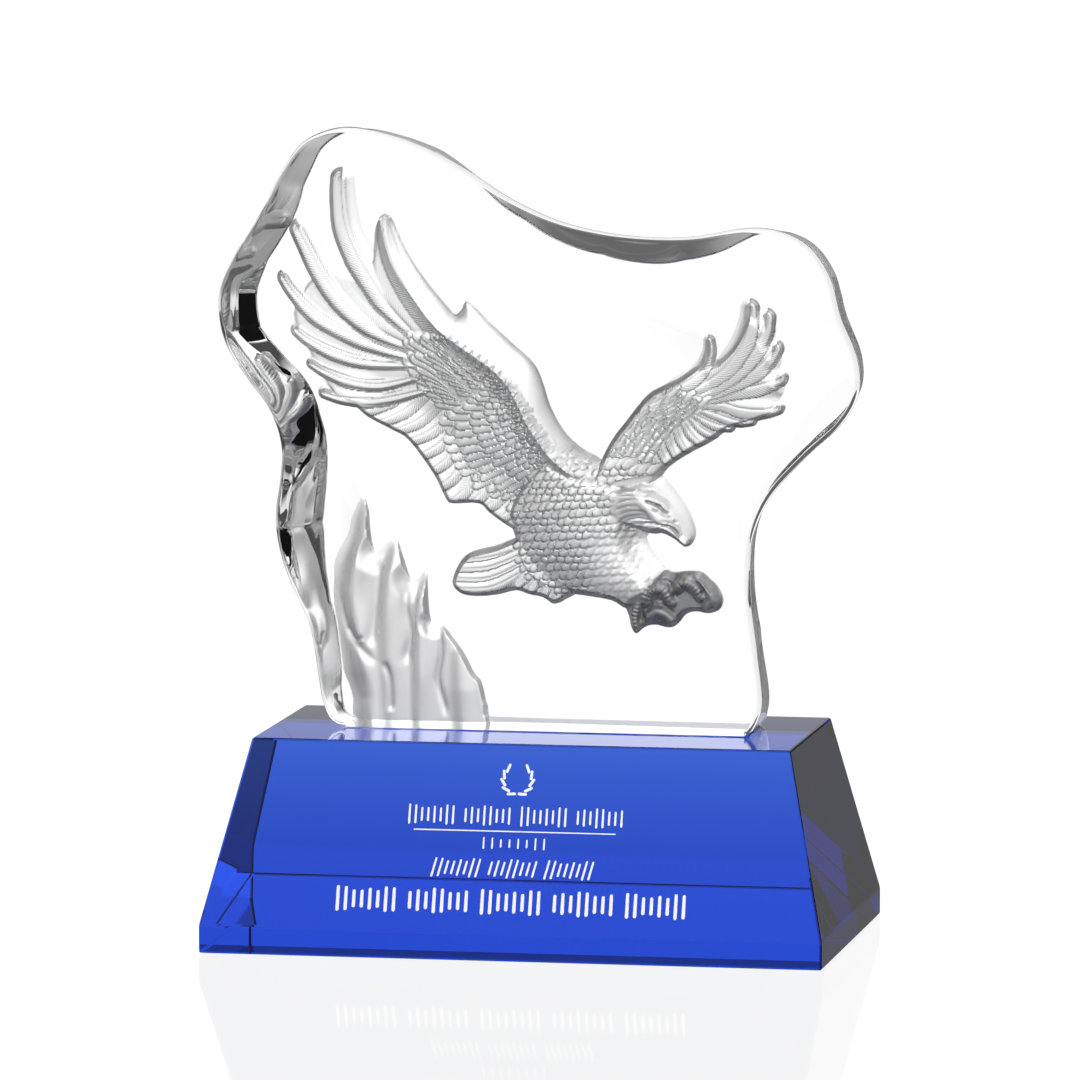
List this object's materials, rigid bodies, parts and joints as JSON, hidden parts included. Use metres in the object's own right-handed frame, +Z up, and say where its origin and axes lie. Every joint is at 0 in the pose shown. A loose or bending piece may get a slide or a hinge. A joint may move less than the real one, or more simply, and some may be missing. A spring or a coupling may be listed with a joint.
{
  "type": "eagle award trophy",
  "caption": "Clear crystal slab with an eagle in flight and a frosted crag carved into its back, standing on a sloping blue crystal base.",
  "frame": {"origin": "middle of the base's underside, under the middle of the whole object's box", "axes": "+X to the viewer's right, +Y from the front to the back, +Z up"},
  "size_m": [0.187, 0.11, 0.2335],
  "materials": {
    "blue_crystal": "polished blue optical crystal",
    "clear_crystal": "polished clear crystal, the carving etched to a satin frost",
    "silver_fill": "silver white paint in shallow strokes"
  },
  "bodies": {
    "root": {"base": "blue_crystal", "slab": "clear_crystal"}
  },
  "joints": []
}
